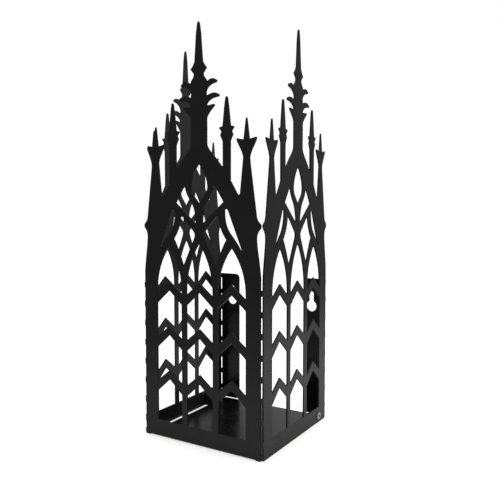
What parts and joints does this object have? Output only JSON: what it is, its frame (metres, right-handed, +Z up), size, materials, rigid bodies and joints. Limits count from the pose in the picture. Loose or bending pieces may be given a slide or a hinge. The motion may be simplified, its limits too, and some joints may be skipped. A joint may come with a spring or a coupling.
{
  "type": "candle holder",
  "caption": "Wall or table candle holder folded from pierced sheet steel: open-backed square tower with pointed-arch tracery, spires, keyhole tabs and riveted floor",
  "frame": {"origin": "middle of the foot, on the plane that the holder stands on", "axes": "+Z up along the height; -Y is the front panel's side, +Y is the wall side with the two keyhole tabs; +X is the right side seen from the front"},
  "size_m": [0.1058, 0.104, 0.3],
  "materials": {
    "coated_sheet": "satin black powder coat on folded sheet steel",
    "rivet_metal": "plain drawn aluminium, slightly dull",
    "pin_steel": "dark snapped steel"
  },
  "bodies": {
    "root": {"front_panel": "coated_sheet", "left_panel": "coated_sheet", "right_panel": "coated_sheet", "front_left_fold": "coated_sheet", "front_right_fold": "coated_sheet", "left_wall_tab": "coated_sheet", "right_wall_tab": "coated_sheet", "left_rear_fold": "coated_sheet", "right_rear_fold": "coated_sheet", "floor_plate": "coated_sheet", "front_floor_fold": "coated_sheet", "left_floor_ear": "coated_sheet", "right_floor_ear": "coated_sheet", "left_ear_fold": "coated_sheet", "right_ear_fold": "coated_sheet", "rivet_bodies": "rivet_metal", "rivet_pins": "pin_steel"}
  },
  "joints": []
}
